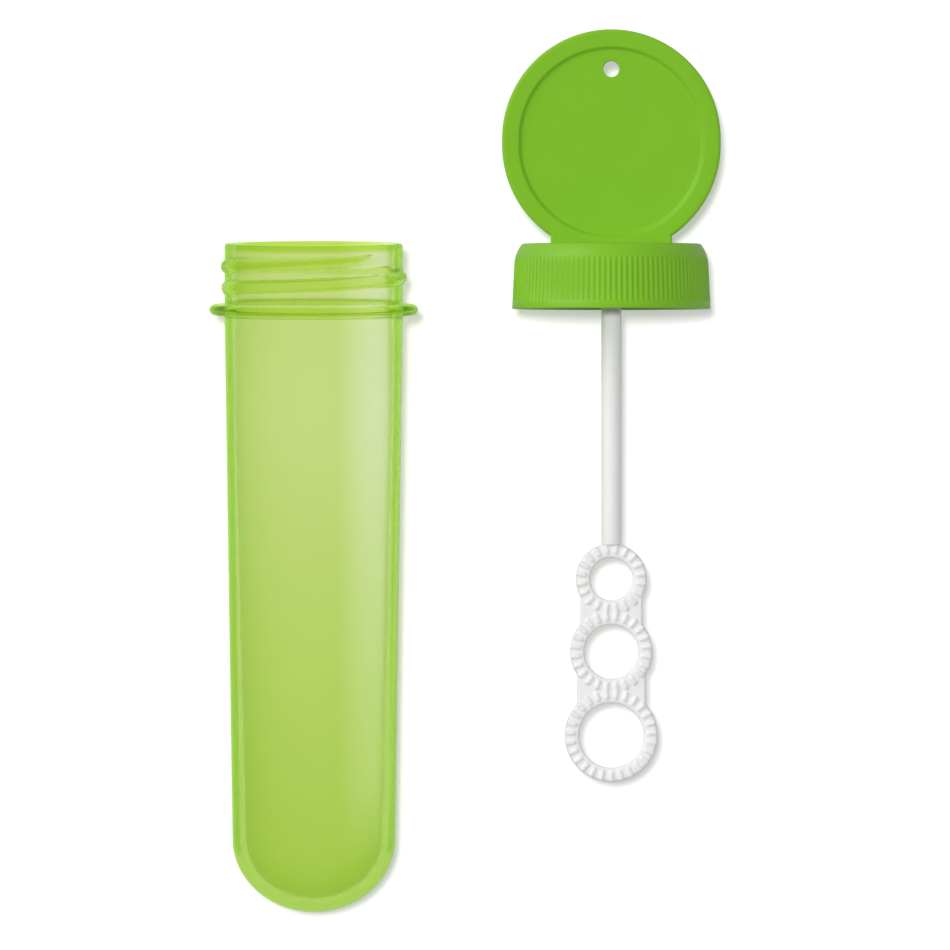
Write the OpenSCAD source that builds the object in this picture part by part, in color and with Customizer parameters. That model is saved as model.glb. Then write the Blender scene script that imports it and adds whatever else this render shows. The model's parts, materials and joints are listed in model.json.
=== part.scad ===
// Bubble wand set: a screw-neck tube for bubble liquid, and its cap with a disc tab,
// which carries a dipping wand with three ribbed loops.
// Millimetres, +Z up. The tube and the cap set lie side by side on a table at z = 0, with the
// mouth and the disc towards +Y. The origin is on the table, under the middle of the whole set.

/* [Tube] */
// Length of the tube, from its mouth to its round end
tube_length = 100.4; // [85:0.1:130]
// Outer diameter of the neck, and of the body just under the collar
neck_od = 26.7; // [22:0.1:32]
// Wall of the neck
tube_wall = 1.5; // [0.9:0.05:2]
// Length of the straight bore from the mouth, below which the hollow narrows
bore_length = 24; // [14:1:30]
// Wall of the round end
end_wall = 2; // [1.2:0.05:2.6]
// Height of the neck, from the collar to the mouth
neck_height = 9.1; // [8:0.1:14]
// Rounding of the mouth's edges
mouth_round = 0.3; // [0.1:0.05:0.4]
// How far the collar stands out from the neck
collar_reach = 2.3; // [1.5:0.1:4]
// Thickness of the collar, whose edge is fully round
collar_thickness = 1.6; // [1:0.1:2.4]
// Draft of the body towards its round end, in degrees
body_draft = 0.83; // [0.2:0.01:1.2]
// Height of the round end, as a share of its radius
end_share = 0.9; // [0.7:0.05:1]
// Height of the neck's screw thread, which the cap's bore leaves room for
thread_height = 0.5; // [0.3:0.05:0.9]

/* [Cap] */
// Height of the cap, from its rim to its top
cap_height = 9.8; // [8.5:0.1:13]
// Wall of the cap at its rim
cap_wall = 0.95; // [0.9:0.05:2]
// Slope of the cap's side, in degrees
cap_slope = 2.8; // [0.5:0.1:3.2]
// Thickness of the cap's top
cap_top = 1.2; // [1:0.1:2]
// Height of the curved shoulder at the top of the cap's side
shoulder_height = 3.1; // [2:0.1:3.4]
// Radius of that shoulder's curve
shoulder_curve_r = 5.3; // [4.6:0.1:8]
// Rounding of the cap's upper edge
cap_round = 0.5; // [0.3:0.1:0.8]
// Free room round the neck's thread, on the radius
thread_clearance = 0.1; // [0.05:0.05:0.3]
// Free room round the plain lip of the neck, on the radius
lip_clearance = 0.2; // [0.1:0.05:0.4]
// Length of the plain lip between the mouth and the thread
lip_length = 1; // [0.8:0.1:1.4]
// Number of grip grooves round the cap
grip_count = 112; // [60:4:116]
// Radius of a grip groove, which is half round
grip_groove_r = 0.2; // [0.15:0.01:0.3]
// Height of the plain band under the grip grooves
grip_band = 1.1; // [0.8:0.1:2.5]
// Length of the boss that holds the stick inside the cap
boss_length = 5; // [3:0.1:6]
// Wall of that boss
boss_wall = 1.3; // [0.8:0.1:2.5]
// Free room round the stick in the boss, on the radius
socket_clearance = 0.05; // [0.02:0.01:0.15]

/* [Disc tab] */
// Width of the disc
disc_d = 32.8; // [28:0.1:44]
// How much taller than wide the disc is
disc_stretch = 0.9; // [0.2:0.1:3]
// Thickness of the disc
disc_thickness = 2.2; // [1.8:0.1:3.5]
// Rounding of the disc's edges
disc_round = 0.45; // [0.2:0.05:0.7]
// How far the disc's lowest edge sinks into the cap's top
disc_sink = 1.55; // [0.6:0.05:1.8]
// Width of the raised border round the sunk faces
disc_border = 2.5; // [1.5:0.1:4]
// Depth of the sunk face on each side
recess_depth = 0.5; // [0.2:0.05:0.6]
// How far the wall of a sunk face slopes inwards
recess_slope = 0.4; // [0.1:0.05:0.8]
// How far the sunk faces sit below the middle of the disc
recess_drop = 0.1; // [0:0.05:0.5]
// Width of the neck between the disc and the cap
stem_width = 18.2; // [12:0.1:22]
// Diameter of the lanyard hole
lanyard_hole_d = 2.4; // [1.5:0.1:4]
// From the disc's edge to the middle of the lanyard hole
lanyard_hole_inset = 5.95; // [5:0.05:8]

/* [Liner] */
// Thickness of the foam washer that seals the mouth
liner_thickness = 0.8; // [0.5:0.1:1.2]
// Free room between the washer and the walls round it, on the radius
liner_clearance = 0.2; // [0.1:0.05:0.4]

/* [Wand] */
// Diameter of the stick
stick_d = 3; // [2.4:0.1:4]
// From the cap's rim to the middle of the first loop
stick_reach = 40.5; // [30:0.1:46]
// Inner diameter of the first loop, which is the smallest
loop_1_d = 6.4; // [6:0.1:8]
// Inner diameter of the second loop
loop_2_d = 8.1; // [7:0.1:9.6]
// Inner diameter of the last loop
loop_3_d = 9.7; // [8:0.1:11]
// Width of the band round each loop
loop_band = 2.15; // [1.8:0.05:2.6]
// Thickness of that band
loop_thickness = 1.5; // [1.2:0.1:1.8]
// Bevel of a loop's inner edges
loop_bevel = 0.3; // [0.1:0.05:0.3]
// How far the bands of neighbouring loops run into each other
loop_overlap = 0.65; // [0.4:0.05:0.7]
// Width of the web between the first two loops
web_1_width = 9.3; // [6:0.1:10]
// Width of the web between the last two loops
web_2_width = 10.3; // [6:0.1:11]
// Thickness of the webs
web_thickness = 1.3; // [0.8:0.1:1.3]
// Distance between the loops' ribs, halfway across the band
rib_pitch = 1.36; // [1.2:0.01:2]
// Radius of a rib, which is a round-ended ridge
rib_r = 0.42; // [0.3:0.01:0.45]
// How far a rib stands out from the band
rib_rise = 0.36; // [0.2:0.02:0.4]
// From a loop's inner edge to the ribs
rib_start = 0.35; // [0.32:0.01:0.45]
// From the band's outer edge to the ribs
rib_end = 0.45; // [0.4:0.01:0.5]

/* [Layout] */
// Clear distance between the tube's collar and the cap's rim
lay_gap = 14.1; // [5:0.1:40]
// How far the cap's top lies above the level of the tube's mouth
lay_rise = 0; // [-20:0.5:20]

/* [Hidden] */
$fn = 96;
// Overlap that keeps a cut or a joined solid from ending on a shared face
over = 0.5;
// Steps of a rounded edge's quarter turn, and of the tube's round end
edge_steps = 6;
end_steps = 32;

// Tube, with s measured along its axis from the mouth
neck_r = neck_od / 2;
collar_r = neck_r + collar_reach;
collar_edge_r = collar_thickness / 2;
collar_s = neck_height + collar_edge_r;
body_s = neck_height + collar_thickness;
// The round end is half an oval, as wide as the drafted body where the two meet
end_r = (neck_r - (tube_length - body_s) * tan(body_draft)) / (1 - end_share * tan(body_draft));
end_h = end_share * end_r;
end_s = tube_length - end_h;
bore_r = neck_r - tube_wall;

// The tube lies on its collar and its round end, so its mouth is tilted up
lie_run = end_s - collar_s;
lie_collar = collar_r - collar_edge_r;
lie_tilt = atan2(lie_collar, lie_run) - asin((end_r - collar_edge_r) / norm([lie_run, lie_collar]));
mouth_z = lie_collar * cos(lie_tilt) + collar_edge_r + collar_s * sin(lie_tilt);

// Cap, with heights measured from its rim
cap_bore_r = neck_r + thread_height + thread_clearance;
cap_rim_r = cap_bore_r + cap_wall;
cap_side_z = cap_height - shoulder_height;
cap_side_r = cap_rim_r - cap_side_z * tan(cap_slope);
// The shoulder's curve goes on from the sloping side and ends where the upper edge's rounding begins
shoulder_c = [cap_side_r, cap_side_z] - shoulder_curve_r * [cos(cap_slope), sin(cap_slope)];
shoulder_end = asin((cap_height - cap_round - shoulder_c.y) / (shoulder_curve_r - cap_round));
cap_round_c = shoulder_c + (shoulder_curve_r - cap_round) * [cos(shoulder_end), sin(shoulder_end)];
cap_ceiling = cap_height - cap_top;
cap_lip_r = neck_r + lip_clearance;
cap_thread_top = cap_ceiling - liner_thickness - lip_length;
socket_r = stick_d / 2 + socket_clearance;
boss_r = socket_r + boss_wall;

// Disc tab
disc_r = disc_d / 2;
disc_half_h = disc_r + disc_stretch / 2;
disc_z = cap_height + disc_half_h - disc_sink;
disc_face = disc_thickness / 2;
recess_r = disc_r - disc_border;
stem_foot = cap_height - cap_top / 2;
stem_top = disc_z - disc_stretch / 2 - sqrt(pow(disc_r, 2) - pow(stem_width / 2, 2));

// Wand
loop_r = [loop_1_d / 2, loop_2_d / 2, loop_3_d / 2];
loop_out = [for (r = loop_r) r + loop_band];
loop_1_z = -stick_reach;
loop_2_z = loop_1_z - loop_out[0] - loop_out[1] + loop_overlap;
loop_3_z = loop_2_z - loop_out[1] - loop_out[2] + loop_overlap;
loop_z = [loop_1_z, loop_2_z, loop_3_z];
web_width = [web_1_width, web_2_width];
rib_axis = loop_thickness / 2 + rib_rise - rib_r;
rib_length = loop_band - rib_start - rib_end;
stick_end_z = loop_1_z + loop_out[0] - rib_end / 2;

// Places on the table
set_dx = collar_r + lay_gap + cap_rim_r;
set_top = lay_rise + 2 * disc_half_h - disc_sink;
tube_low = end_s * cos(lie_tilt) + norm([end_h * cos(lie_tilt), end_r * sin(lie_tilt)]);
middle_x = (set_dx + max(disc_r, cap_rim_r) - collar_r) / 2;
middle_y = (set_top - tube_low) / 2;

// Stands a profile's upright axis along the lying tube, mouth first
module lay_tube() {
    translate([-middle_x, -middle_y, mouth_z]) rotate([lie_tilt - 90, 0, 0]) children();
}

// Stands the cap's axis along +Y, with the rim resting on the table
module lay_set() {
    translate([set_dx - middle_x, lay_rise - cap_height - middle_y, cap_rim_r])
        rotate([-90, 0, 0]) children();
}

// Points of an arc about a centre, from one angle to another
function arc(centre, r, from, to, steps) = [
    for (i = [0 : steps])
        let (a = from + (to - from) * i / steps)
            centre + r * [cos(a), sin(a)]
];

// Points of the tube's round end, drawn in by the given wall, from one angle to another
function round_end(wall, from, to) = [
    for (i = [0 : end_steps])
        let (a = from + (to - from) * i / end_steps)
            [(end_r - wall) * cos(a), (end_h - wall) * sin(a) - end_s]
];

// Half of the tube's wall: lip, neck, collar and drafted body outside, then the hollow back up
module tube_wall_half() {
    polygon(concat(
        arc([bore_r + mouth_round, -mouth_round], mouth_round, 180, 90, edge_steps),
        arc([neck_r - mouth_round, -mouth_round], mouth_round, 90, 0, edge_steps),
        [[neck_r, -neck_height]],
        arc([collar_r - collar_edge_r, -collar_s], collar_edge_r, 90, -90, 2 * edge_steps),
        [[neck_r, -body_s]],
        round_end(0, 0, -90),
        round_end(end_wall, -90, 0),
        [[bore_r, -bore_length]]
    ));
}

module tube() {
    color("yellowgreen", 0.6) lay_tube() rotate_extrude() tube_wall_half();
}

// Half of the cap's outer section
module cap_outer_half() {
    polygon(concat(
        [[0, 0], [cap_rim_r, 0]],
        arc(shoulder_c, shoulder_curve_r, cap_slope, shoulder_end, edge_steps),
        arc(cap_round_c, cap_round, shoulder_end, 90, edge_steps),
        [[0, cap_height]]
    ));
}

// Half of the cap's hollow, which is wide at the thread and narrow at the plain lip
module cap_hollow_half() {
    polygon([
        [0, -over],
        [cap_bore_r, -over],
        [cap_bore_r, cap_thread_top],
        [cap_lip_r, cap_thread_top + cap_bore_r - cap_lip_r],
        [cap_lip_r, cap_ceiling],
        [0, cap_ceiling]
    ]);
}

// Cup of the cap with the stick's boss
module cap_cup() {
    rotate_extrude() {
        difference() {
            cap_outer_half();
            cap_hollow_half();
        }
        translate([socket_r, cap_ceiling - boss_length]) square([boss_wall, boss_length + cap_top / 2]);
    }
}

// Half-round grooves that follow the slope of the cap's side and fade out in its shoulder
module grip_grooves() {
    for (i = [0 : grip_count - 1])
        rotate([0, 0, 360 / grip_count * i])
            translate([cap_rim_r - grip_band * tan(cap_slope), 0, grip_band])
                rotate([0, -cap_slope, 0]) cylinder(r = grip_groove_r, h = cap_height - grip_band);
}

// Plate of a half section, round at the top and bottom and as much taller than wide as the disc
module oval_plate() {
    for (z = [-disc_stretch / 2, disc_stretch / 2])
        translate([0, 0, z]) rotate([90, 0, 0]) rotate_extrude() children();
    for (side = [0, 1])
        mirror([side, 0, 0]) mirror([0, 1, 0]) translate([0, 0, -disc_stretch / 2])
            linear_extrude(disc_stretch) children();
}

// Half of the disc's section, with round edges
module disc_half() {
    polygon(concat(
        [[0, -disc_face]],
        arc([disc_r - disc_round, disc_round - disc_face], disc_round, -90, 0, edge_steps),
        arc([disc_r - disc_round, disc_face - disc_round], disc_round, 0, 90, edge_steps),
        [[0, disc_face]]
    ));
}

// Disc, which ends inside the cap's top, and its neck
module disc_tab() {
    difference() {
        translate([0, 0, disc_z]) oval_plate() disc_half();
        translate([-disc_r, -disc_thickness, stem_foot - disc_d])
            cube([disc_d, 2 * disc_thickness, disc_d + cap_top / 4]);
    }
    translate([-stem_width / 2, -disc_face, stem_foot])
        cube([stem_width, disc_thickness, stem_top - stem_foot]);
}

// Half of the section of a sunk face, with a sloping wall
module recess_half() {
    polygon([
        [0, disc_face - recess_depth],
        [recess_r - recess_slope, disc_face - recess_depth],
        [recess_r, disc_face],
        [recess_r, disc_face + over],
        [0, disc_face + over]
    ]);
}

// Sunk faces on both sides of the disc
module disc_recesses() {
    for (side = [0, 1])
        translate([0, 0, disc_z - recess_drop]) mirror([0, side, 0]) oval_plate() recess_half();
}

module lanyard_hole() {
    translate([0, 0, disc_z + disc_half_h - lanyard_hole_inset]) rotate([90, 0, 0])
        cylinder(d = lanyard_hole_d, h = disc_thickness + 2 * over, center = true);
}

module cap() {
    color("limegreen") lay_set() difference() {
        union() {
            cap_cup();
            disc_tab();
        }
        grip_grooves();
        disc_recesses();
        lanyard_hole();
    }
}

module cap_liner() {
    hole_r = boss_r + liner_clearance;
    color("whitesmoke") lay_set() rotate_extrude()
        translate([hole_r, cap_ceiling - liner_thickness])
            square([cap_lip_r - liner_clearance - hole_r, liner_thickness]);
}

// Hole of one loop, with bevelled edges
module loop_hole(r) {
    flat = loop_thickness / 2 - loop_bevel;
    rotate([90, 0, 0]) rotate_extrude()
        polygon([
            [0, -flat - loop_bevel - over],
            [r + loop_bevel + over, -flat - loop_bevel - over],
            [r, -flat],
            [r, flat],
            [r + loop_bevel + over, flat + loop_bevel + over],
            [0, flat + loop_bevel + over]
        ]);
}

// One round-ended ridge that points away from the middle of its loop
module rib(r) {
    translate([0, 0, r + rib_start]) rotate_extrude() {
        translate([0, rib_r]) square([rib_r, rib_length - 2 * rib_r]);
        for (y = [rib_r, rib_length - rib_r])
            translate([0, y]) intersection() {
                circle(rib_r);
                translate([0, -rib_r]) square([rib_r, 2 * rib_r]);
            }
    }
}

// Ring of ribs on both faces of one loop's band
module loop_ribs(r) {
    count = round(2 * PI * (r + loop_band / 2) / rib_pitch);
    for (i = [0 : count - 1])
        for (y = [-rib_axis, rib_axis])
            rotate([0, 360 / count * (i + 0.5), 0]) translate([0, y, 0]) rib(r);
}

module wand() {
    color("white") lay_set() {
        difference() {
            union() {
                for (i = [0 : 2])
                    translate([0, 0, loop_z[i]]) rotate([90, 0, 0])
                        cylinder(r = loop_out[i], h = loop_thickness, center = true);
                for (i = [0 : 1])
                    translate([-web_width[i] / 2, -web_thickness / 2, loop_z[i + 1]])
                        cube([web_width[i], web_thickness, loop_z[i] - loop_z[i + 1]]);
            }
            for (i = [0 : 2])
                translate([0, 0, loop_z[i]]) loop_hole(loop_r[i]);
        }
        translate([0, 0, stick_end_z]) cylinder(d = stick_d, h = cap_ceiling - stick_end_z);
        for (i = [0 : 2])
            translate([0, 0, loop_z[i]]) loop_ribs(loop_r[i]);
    }
}

tube();
cap();
cap_liner();
wand();
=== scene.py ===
"""Bubble wand set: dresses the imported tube, cap, liner and wand, and sets the stage."""

import json
import math

import bmesh
import bpy
from mathutils import Matrix, Vector

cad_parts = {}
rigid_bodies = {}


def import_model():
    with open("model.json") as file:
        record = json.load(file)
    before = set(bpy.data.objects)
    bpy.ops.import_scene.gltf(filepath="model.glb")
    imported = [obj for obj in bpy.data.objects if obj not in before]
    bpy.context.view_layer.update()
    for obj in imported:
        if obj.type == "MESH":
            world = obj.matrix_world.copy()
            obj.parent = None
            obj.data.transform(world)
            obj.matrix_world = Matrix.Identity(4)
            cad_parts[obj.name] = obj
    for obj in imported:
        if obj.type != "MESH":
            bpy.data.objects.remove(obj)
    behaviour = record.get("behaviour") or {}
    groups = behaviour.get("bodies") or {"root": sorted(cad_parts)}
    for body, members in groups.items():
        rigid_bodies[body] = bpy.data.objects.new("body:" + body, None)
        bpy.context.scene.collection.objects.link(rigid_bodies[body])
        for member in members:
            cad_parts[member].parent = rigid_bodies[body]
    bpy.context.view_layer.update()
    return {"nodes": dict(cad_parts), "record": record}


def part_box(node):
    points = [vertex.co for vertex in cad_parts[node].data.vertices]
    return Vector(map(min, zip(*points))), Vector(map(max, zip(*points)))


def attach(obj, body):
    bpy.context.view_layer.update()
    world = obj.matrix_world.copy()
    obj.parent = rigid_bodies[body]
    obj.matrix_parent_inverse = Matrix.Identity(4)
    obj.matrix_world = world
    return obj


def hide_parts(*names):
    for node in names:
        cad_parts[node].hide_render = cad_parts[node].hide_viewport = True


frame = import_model()

bl_info = {
    "name": "Bubble wand set",
    "version": (1, 0, 0),
    "blender": (4, 5, 0),
    "location": "View3D > Sidebar > Bubble wand",
    "description": "Builds the tube, cap, liner and wand of a bubble wand set over its packed solids",
    "category": "Object",
}

MM = 0.001
# Points closer than this are one point
MERGE = 1e-6
# Points no further than this from a height or a radius lie on it
NEAR = 5 * MERGE
# Columns of points from one grip groove of the cap to the next
FLUTE_COLUMNS = 6

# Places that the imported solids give
MOUNTS = {mount["name"]: mount for mount in frame["record"]["mounts"]}
TUBE_AXIS = Vector(MOUNTS["tube_mouth"]["axis"]).normalized()
TUBE_POINT = Vector(MOUNTS["tube_mouth"]["pos_m"])
TUBE_REACH = [(v.co - TUBE_POINT).dot(TUBE_AXIS) for v in frame["nodes"]["tube"].data.vertices]
TUBE_MOUTH = TUBE_POINT + TUBE_AXIS * max(TUBE_REACH)
TUBE_LENGTH = max(TUBE_REACH) - min(TUBE_REACH)
TUBE_BORE = MOUNTS["tube_mouth"]["dims"]["r_mm"] * MM
CAP_LOW, CAP_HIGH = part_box("cap")
WAND_LOW, WAND_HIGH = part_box("wand")
LINER_LOW, LINER_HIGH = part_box("cap_liner")
HOLE_CENTRE = Vector(MOUNTS["lanyard_hole"]["pos_m"])
HOLE_RADIUS = MOUNTS["lanyard_hole"]["dims"]["r_mm"] * MM
FACE_CENTRE = Vector(MOUNTS["disc_face"]["pos_m"])
# Middle of the cap's rim, from which the sizes of the cap set are measured along +Y
SET_ORIGIN = Vector((HOLE_CENTRE.x, CAP_LOW.y, HOLE_CENTRE.z))
DISC_RADIUS = (CAP_HIGH.x - CAP_LOW.x) / 2
RIM_RADIUS = HOLE_CENTRE.z - CAP_LOW.z


class BubbleTubeSettings(bpy.types.PropertyGroup):
    """Sizes and colour of the tube."""

    wall: bpy.props.FloatProperty(
        name="Wall", description="Wall of the neck",
        default=1.5 * MM, unit="LENGTH", precision=5)
    bore_length: bpy.props.FloatProperty(
        name="Bore length", description="Length of the straight bore from the mouth",
        default=24 * MM, unit="LENGTH", precision=5)
    end_wall: bpy.props.FloatProperty(
        name="End wall", description="Wall of the round end",
        default=2 * MM, unit="LENGTH", precision=5)
    end_share: bpy.props.FloatProperty(
        name="End height", description="Height of the round end, as a share of its radius",
        default=0.9, subtype="FACTOR", min=0.5, max=1)
    neck_height: bpy.props.FloatProperty(
        name="Neck height", description="From the collar to the mouth",
        default=9.1 * MM, unit="LENGTH", precision=5)
    collar_reach: bpy.props.FloatProperty(
        name="Collar reach", description="How far the collar stands out from the neck",
        default=2.3 * MM, unit="LENGTH", precision=5)
    collar_thickness: bpy.props.FloatProperty(
        name="Collar thickness", description="Thickness of the round-edged collar",
        default=1.6 * MM, unit="LENGTH", precision=5)
    draft: bpy.props.FloatProperty(
        name="Draft", description="Slope of the body towards its round end",
        default=math.radians(0.83), unit="ROTATION")
    thread_height: bpy.props.FloatProperty(
        name="Thread height", description="How far the screw thread stands out from the neck",
        default=0.6 * MM, unit="LENGTH", precision=5)
    thread_pitch: bpy.props.FloatProperty(
        name="Thread pitch", description="Distance between two turns of the screw thread",
        default=3.2 * MM, unit="LENGTH", precision=5)
    thread_turns: bpy.props.FloatProperty(
        name="Thread turns", description="Turns of the screw thread round the neck", default=1.55)
    colour: bpy.props.FloatVectorProperty(
        name="Colour", description="Tint of the translucent plastic's surface",
        subtype="COLOR", size=3, default=(0.811, 0.875, 0.563), min=0, max=1)
    end_colour: bpy.props.FloatVectorProperty(
        name="End colour", description="Tint of the surface at the round end",
        subtype="COLOR", size=3, default=(0.69, 0.818, 0.355), min=0, max=1)
    ridge_colour: bpy.props.FloatVectorProperty(
        name="Ridge colour", description="Tint of the surface on the thread, collar and rim",
        subtype="COLOR", size=3, default=(0.575, 0.785, 0.13), min=0, max=1)
    wall_colour: bpy.props.FloatVectorProperty(
        name="Wall colour", description="Tint of the surface where the outer wall is seen edge-on",
        subtype="COLOR", size=3, default=(0.28, 0.62, 0.02), min=0, max=1)
    depth_colour: bpy.props.FloatVectorProperty(
        name="Depth colour", description="Colour that the plastic takes where it is thick",
        subtype="COLOR", size=3, default=(0.667, 0.817, 0.083), min=0, max=1)
    depth_density: bpy.props.FloatProperty(
        name="Depth density", description="How fast the plastic takes up light, per metre",
        default=130.0)
    edge_colour: bpy.props.FloatVectorProperty(
        name="Edge colour", description="Colour that the plastic scatters where it is seen edge-on",
        subtype="COLOR", size=3, default=(0.36, 0.66, 0.02), min=0, max=1)


class BubbleCapSettings(bpy.types.PropertyGroup):
    """Sizes and colours of the cap and its liner."""

    height: bpy.props.FloatProperty(
        name="Height", description="From the cap's rim to its top",
        default=9.8 * MM, unit="LENGTH", precision=5)
    slope: bpy.props.FloatProperty(
        name="Slope", description="Slope of the cap's side",
        default=math.radians(2.8), unit="ROTATION")
    shoulder_height: bpy.props.FloatProperty(
        name="Shoulder height", description="Height of the curved shoulder at the top of the side",
        default=3.1 * MM, unit="LENGTH", precision=5)
    shoulder_curve: bpy.props.FloatProperty(
        name="Shoulder curve", description="Radius of the shoulder's curve",
        default=5.3 * MM, unit="LENGTH", precision=5)
    edge_round: bpy.props.FloatProperty(
        name="Edge rounding", description="Rounding of the cap's upper edge",
        default=0.5 * MM, unit="LENGTH", precision=5)
    flute_count: bpy.props.IntProperty(
        name="Flutes", description="Number of grip grooves round the cap", default=112)
    flute_depth: bpy.props.FloatProperty(
        name="Flute depth", description="Depth of a grip groove",
        default=0.17 * MM, unit="LENGTH", precision=5)
    rim_band: bpy.props.FloatProperty(
        name="Rim band", description="Height of the plain band under the grip grooves",
        default=1.1 * MM, unit="LENGTH", precision=5)
    disc_stretch: bpy.props.FloatProperty(
        name="Disc stretch", description="How much taller than wide the disc tab is",
        default=0.9 * MM, unit="LENGTH", precision=5)
    disc_thickness: bpy.props.FloatProperty(
        name="Disc thickness", description="Thickness of the disc tab",
        default=2.2 * MM, unit="LENGTH", precision=5)
    disc_border: bpy.props.FloatProperty(
        name="Disc border", description="Width of the raised border of the disc tab",
        default=2.5 * MM, unit="LENGTH", precision=5)
    stem_width: bpy.props.FloatProperty(
        name="Stem width", description="Width of the neck between the disc and the cap",
        default=18.2 * MM, unit="LENGTH", precision=5)
    colour: bpy.props.FloatVectorProperty(
        name="Colour", description="Colour of the cap's plastic",
        subtype="COLOR", size=3, default=(0.20, 0.48, 0.02), min=0, max=1)
    liner_colour: bpy.props.FloatVectorProperty(
        name="Liner colour", description="Colour of the foam washer in the cap",
        subtype="COLOR", size=3, default=(0.86, 0.86, 0.84), min=0, max=1)


class BubbleWandSettings(bpy.types.PropertyGroup):
    """Sizes and colour of the dipping wand."""

    stick_diameter: bpy.props.FloatProperty(
        name="Stick", description="Diameter of the stick",
        default=3.0 * MM, unit="LENGTH", precision=5)
    first_loop: bpy.props.FloatProperty(
        name="First loop", description="Inner diameter of the loop next to the stick",
        default=6.4 * MM, unit="LENGTH", precision=5)
    second_loop: bpy.props.FloatProperty(
        name="Second loop", description="Inner diameter of the middle loop",
        default=8.1 * MM, unit="LENGTH", precision=5)
    third_loop: bpy.props.FloatProperty(
        name="Third loop", description="Inner diameter of the last loop",
        default=9.7 * MM, unit="LENGTH", precision=5)
    band: bpy.props.FloatProperty(
        name="Band", description="Width of the band round each loop",
        default=2.15 * MM, unit="LENGTH", precision=5)
    thickness: bpy.props.FloatProperty(
        name="Thickness", description="Thickness of the band between its ribs",
        default=1.5 * MM, unit="LENGTH", precision=5)
    overlap: bpy.props.FloatProperty(
        name="Overlap", description="How far the bands of neighbouring loops run into each other",
        default=0.65 * MM, unit="LENGTH", precision=5)
    rib_pitch: bpy.props.FloatProperty(
        name="Rib pitch", description="Distance between the ribs halfway across the band",
        default=1.36 * MM, unit="LENGTH", precision=5)
    colour: bpy.props.FloatVectorProperty(
        name="Colour", description="Colour of the wand's plastic",
        subtype="COLOR", size=3, default=(0.83, 0.83, 0.83), min=0, max=1)


class BubbleStageSettings(bpy.types.PropertyGroup):
    """Camera and light."""

    view_width: bpy.props.FloatProperty(
        name="View width", description="Width of the picture at half the height of the set",
        default=142.5 * MM, unit="LENGTH", precision=4)
    camera_distance: bpy.props.FloatProperty(
        name="Camera distance", description="From the camera to half the height of the set",
        default=2.5, unit="LENGTH")
    floor_colour: bpy.props.FloatVectorProperty(
        name="Floor", description="Colour of the floor",
        subtype="COLOR", size=3, default=(0.9, 0.9, 0.9), min=0, max=1)
    floor_glow: bpy.props.FloatProperty(
        name="Floor glow", description="Light that the floor adds for the camera, for pale shadows",
        default=0.38, min=0)
    sky_strength: bpy.props.FloatProperty(
        name="Sky", description="Strength of the plain white sky as a light", default=0.22, min=0)
    # Painted highlight: the floor glows in this colour in a strip seen only through the tube, which
    # stands in for the light on the tube's right side
    painted_highlight_colour: bpy.props.FloatVectorProperty(
        name="Strip", description="Light of the strip that shows through the tube's right side",
        subtype="COLOR", size=3, default=(1.5, 1.28, 2.9), min=0, max=4)


# Modelling helpers


def leave_edit_mode():
    if bpy.context.object and bpy.context.object.mode != "OBJECT":
        bpy.ops.object.mode_set(mode="OBJECT")


def select_only(*pieces):
    leave_edit_mode()
    bpy.ops.object.select_all(action="DESELECT")
    for piece in pieces:
        piece.select_set(True)
    if pieces:
        bpy.context.view_layer.objects.active = pieces[0]


def rename(piece, name):
    piece.name = name
    piece.data.name = name
    return piece


def edit_points(piece, test):
    """Opens the piece for editing with the points selected whose place passes the test."""
    if piece.mode != "EDIT":
        select_only(piece)
        bpy.ops.object.mode_set(mode="EDIT")
    bpy.ops.mesh.select_mode(type="VERT")
    bpy.ops.mesh.select_all(action="DESELECT")
    mesh = bmesh.from_edit_mesh(piece.data)
    for point in mesh.verts:
        point.select_set(test(point.co))
    mesh.select_flush_mode()
    bmesh.update_edit_mesh(piece.data)


def close_mesh(piece):
    """Merges doubles, closes seams and turns all faces outwards."""
    select_only(piece)
    bpy.ops.object.mode_set(mode="EDIT")
    bpy.ops.mesh.select_all(action="SELECT")
    bpy.ops.mesh.remove_doubles(threshold=MERGE)
    bpy.ops.mesh.normals_make_consistent(inside=False)
    bpy.ops.object.mode_set(mode="OBJECT")


def apply_modifier(piece, kind, **values):
    select_only(piece)
    bpy.ops.object.modifier_add(type=kind)
    modifier = piece.modifiers[-1]
    for name, value in values.items():
        setattr(modifier, name, value)
    bpy.ops.object.modifier_apply(modifier=modifier.name)


def combine(piece, other, operation):
    """Joins the other solid to the piece, or cuts it out, and removes it."""
    apply_modifier(piece, "BOOLEAN", object=other, operation=operation, solver="EXACT")
    bpy.data.objects.remove(other)


def place(piece, matrix):
    """Moves the piece's mesh to its place and leaves the object at the origin."""
    select_only(piece)
    piece.matrix_world = matrix @ piece.matrix_world
    bpy.ops.object.transform_apply(location=True, rotation=True, scale=True)


def arc(centre, radius, start, end, steps, share=1):
    """Points of an arc in the plane of an outline, with angles in degrees; share flattens it."""
    angles = [math.radians(start + (end - start) * i / steps) for i in range(steps + 1)]
    return [
        (centre[0] + radius * math.cos(a), centre[1] + share * radius * math.sin(a)) for a in angles
    ]


def straight(start, end, steps):
    """Points of a straight line without its two ends."""
    shares = [i / steps for i in range(1, steps)]
    return [tuple(a + (b - a) * share for a, b in zip(start, end)) for share in shares]


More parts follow.
